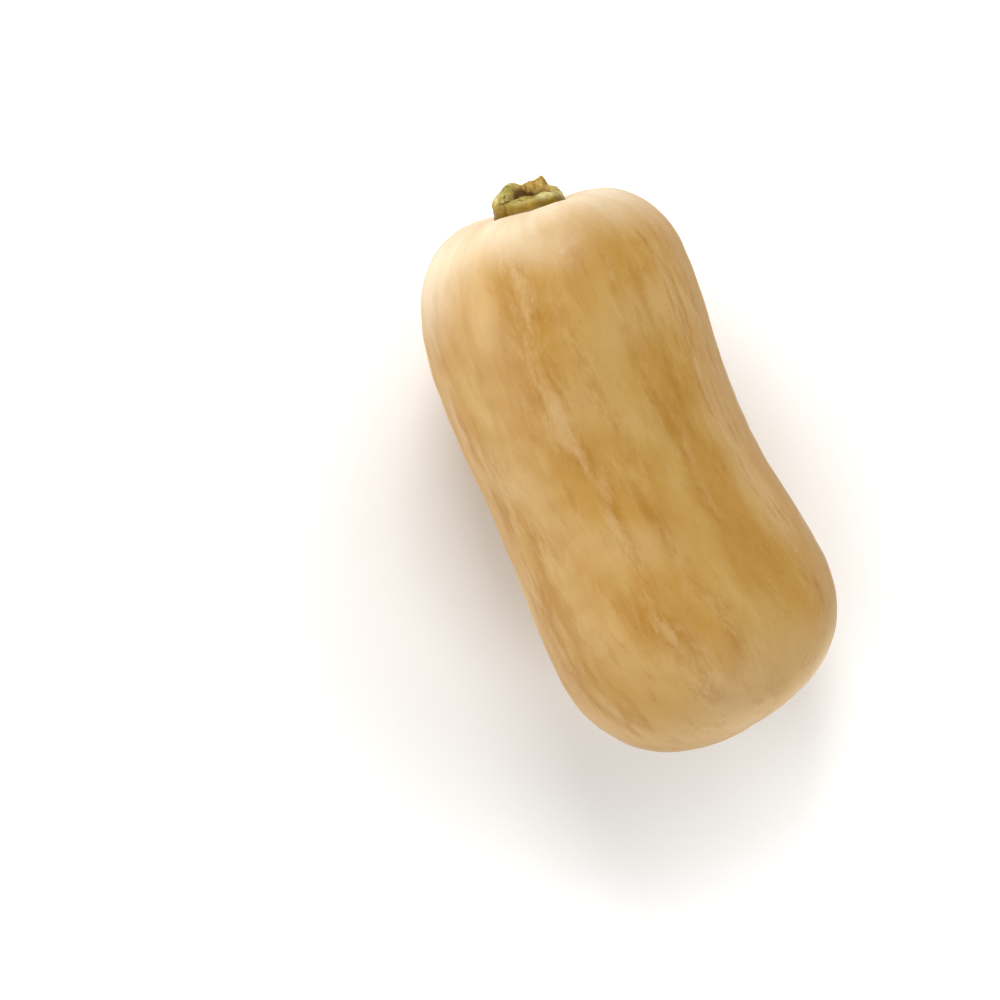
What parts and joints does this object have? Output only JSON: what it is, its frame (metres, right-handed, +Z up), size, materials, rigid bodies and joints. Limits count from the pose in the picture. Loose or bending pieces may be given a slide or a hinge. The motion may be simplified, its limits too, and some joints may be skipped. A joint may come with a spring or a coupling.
{
  "type": "butternut squash",
  "caption": "Whole butternut squash lying on its side: a smooth bent fruit with a wide bulb, a waist and a ribbed stem stump.",
  "frame": {"origin": "on the surface that the squash lies on, under the middle of its bounding box", "axes": "+Z up, +Y along the length towards the stem end, +X towards the hollow side of the bend"},
  "size_m": [0.1062, 0.2128, 0.1027],
  "materials": {
    "rind": "waxy satin rind, cream tan with pale and ochre lengthwise streaks",
    "stem": "dry olive green and straw coloured stalk with cracks"
  },
  "bodies": {
    "root": {"fruit": "rind", "stem": "stem"}
  },
  "joints": []
}
